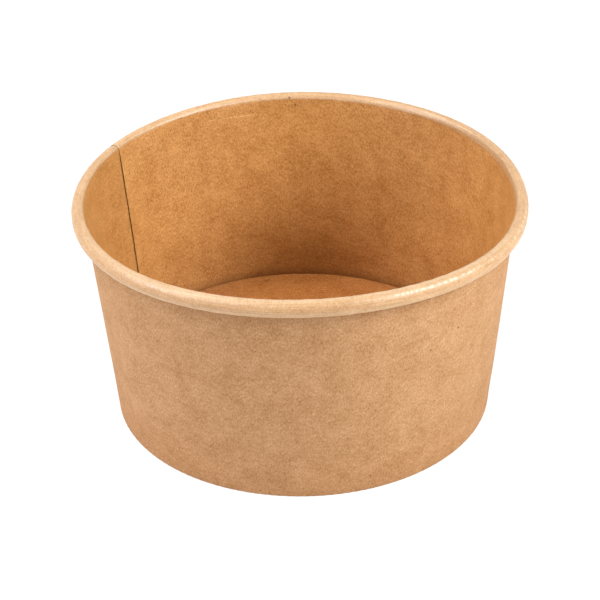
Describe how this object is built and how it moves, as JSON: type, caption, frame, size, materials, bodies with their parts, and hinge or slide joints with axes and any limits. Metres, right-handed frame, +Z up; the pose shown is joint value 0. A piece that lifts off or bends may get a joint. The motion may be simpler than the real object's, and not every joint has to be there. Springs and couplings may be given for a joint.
{
  "type": "kraft salad bowl",
  "caption": "Round paperboard salad bowl with a rolled rim, a glued lap seam and a raised base disc held in a turned-in foot.",
  "frame": {"origin": "centre of the foot, on the plane that the bowl stands on", "axes": "+Z up along the bowl's axis; the raw edge of the lap seam shows inside at 150.5 degrees from +X towards +Y; the picture looks along +Y"},
  "size_m": [0.15, 0.15, 0.078],
  "materials": {
    "wall_board": "coated kraft board, matt outside, faint gloss on the food side",
    "base_board": "coated kraft board, faint gloss on the food side"
  },
  "bodies": {
    "root": {"side_wall": "wall_board", "base_disc": "base_board"}
  },
  "joints": []
}
